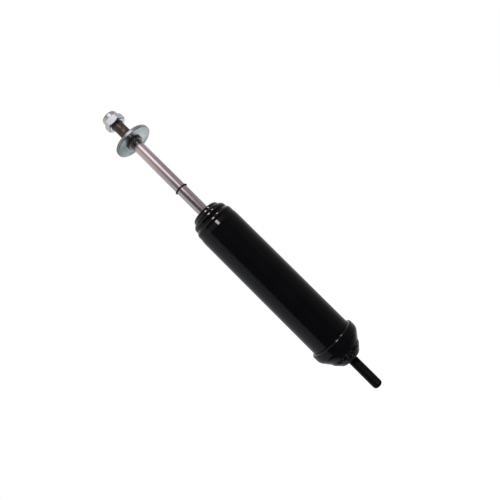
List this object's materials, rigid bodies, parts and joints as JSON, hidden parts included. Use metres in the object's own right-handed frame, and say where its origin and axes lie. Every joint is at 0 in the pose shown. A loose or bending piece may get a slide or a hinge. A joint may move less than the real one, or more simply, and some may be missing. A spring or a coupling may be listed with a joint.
{
  "type": "cab shock absorber",
  "caption": "Stud-ended telescopic hydraulic damper: black tube in a flared base cup, chromed rod that slides and turns, wide washer and lock nut on the upper threaded stud.",
  "frame": {"origin": "on the damper's axis, in the plane of the stud retainer's underside, where the lower stud comes out", "axes": "+Z along the damper's axis towards the rod end; +X through a corner of the lock nut; rod drawn right out"},
  "size_m": [0.0586, 0.0586, 0.4404],
  "materials": {
    "gloss_black_paint": "gloss black enamel",
    "black_stud": "semi-gloss black over a thread",
    "hard_chrome": "ground and polished",
    "dark_steel": "oiled",
    "zinc_plate": "bright zinc plate, bluish",
    "nylon": "natural",
    "seal_rubber": "moulded",
    "bright_steel": "machined",
    "sintered_iron": "as sintered",
    "bronze": "turned",
    "filled_ptfe": "moulded",
    "spring_steel": "hardened"
  },
  "bodies": {
    "tube_assembly": {"reserve_tube": "gloss_black_paint", "seal_cap": "gloss_black_paint", "rod_wiper": "seal_rubber", "rod_seal": "seal_rubber", "seal_washer": "bright_steel", "rod_guide": "sintered_iron", "guide_bush": "bronze", "guide_o_ring": "seal_rubber", "pressure_tube": "bright_steel", "base_valve": "sintered_iron", "base_discs": "spring_steel", "base_bolt": "bright_steel", "base_check_spring": "spring_steel", "base_cup": "gloss_black_paint", "stud_retainer": "gloss_black_paint", "lower_stud": "black_stud"},
    "piston_band": {"piston_band": "filled_ptfe"},
    "rod_assembly": {"piston_rod": "hard_chrome", "washer_collar": "dark_steel", "rebound_stop": "seal_rubber", "stop_collar": "bright_steel", "piston": "sintered_iron", "intake_stop": "bright_steel", "intake_spring": "spring_steel", "rebound_discs": "spring_steel", "spring_seat": "bright_steel", "valve_spring": "spring_steel", "piston_nut": "bright_steel"},
    "intake_plate": {"intake_plate": "spring_steel"},
    "base_check_plate": {"base_check_plate": "spring_steel"},
    "travel_ring": {"travel_ring": "seal_rubber"},
    "upper_washer": {"upper_washer": "zinc_plate"},
    "nut_carrier": {"nut_insert": "nylon"},
    "lock_nut": {"lock_nut": "zinc_plate"}
  },
  "joints": [
    {"name": "rod_slide", "type": "slide", "parent": "tube_assembly", "child": "piston_band", "axis": [0, 0, 1], "range_m": [-0.1, 0]},
    {"name": "rod_turn", "type": "hinge", "parent": "piston_band", "child": "rod_assembly", "pos_m": [0, 0, 0.17066], "axis": [0, 0, 1], "continuous": true},
    {"name": "intake_lift", "type": "slide", "parent": "rod_assembly", "child": "intake_plate", "axis": [0, 0, 1], "range_m": [0, 0.0012], "stiffness_N_per_m": 100, "springref_m": -0.002, "deforming": ["intake_spring"]},
    {"name": "base_lift", "type": "slide", "parent": "tube_assembly", "child": "base_check_plate", "axis": [0, 0, 1], "range_m": [0, 0.0012], "stiffness_N_per_m": 100, "springref_m": -0.002, "deforming": ["base_check_spring"]},
    {"name": "ring_slide", "type": "slide", "parent": "rod_assembly", "child": "travel_ring", "axis": [0, 0, 1], "range_m": [0, 0.065]},
    {"name": "washer_lift", "type": "slide", "parent": "rod_assembly", "child": "upper_washer", "axis": [0, 0, 1], "range_m": [0, 0.008]},
    {"name": "nut_travel", "type": "slide", "parent": "rod_assembly", "child": "nut_carrier", "axis": [0, 0, 1], "range_m": [-0.0151, 0.0271]},
    {"name": "nut_turn", "type": "hinge", "parent": "nut_carrier", "child": "lock_nut", "pos_m": [0, 0, 0.395], "axis": [0, 0, 1], "range_deg": [-3600, 6480]}
  ],
  "couplings": [
    {"joint": "ring_slide", "follows": "rod_slide", "ratio": -0.65},
    {"joint": "nut_travel", "follows": "nut_turn", "m_per_rad": 0.00023873}
  ]
}
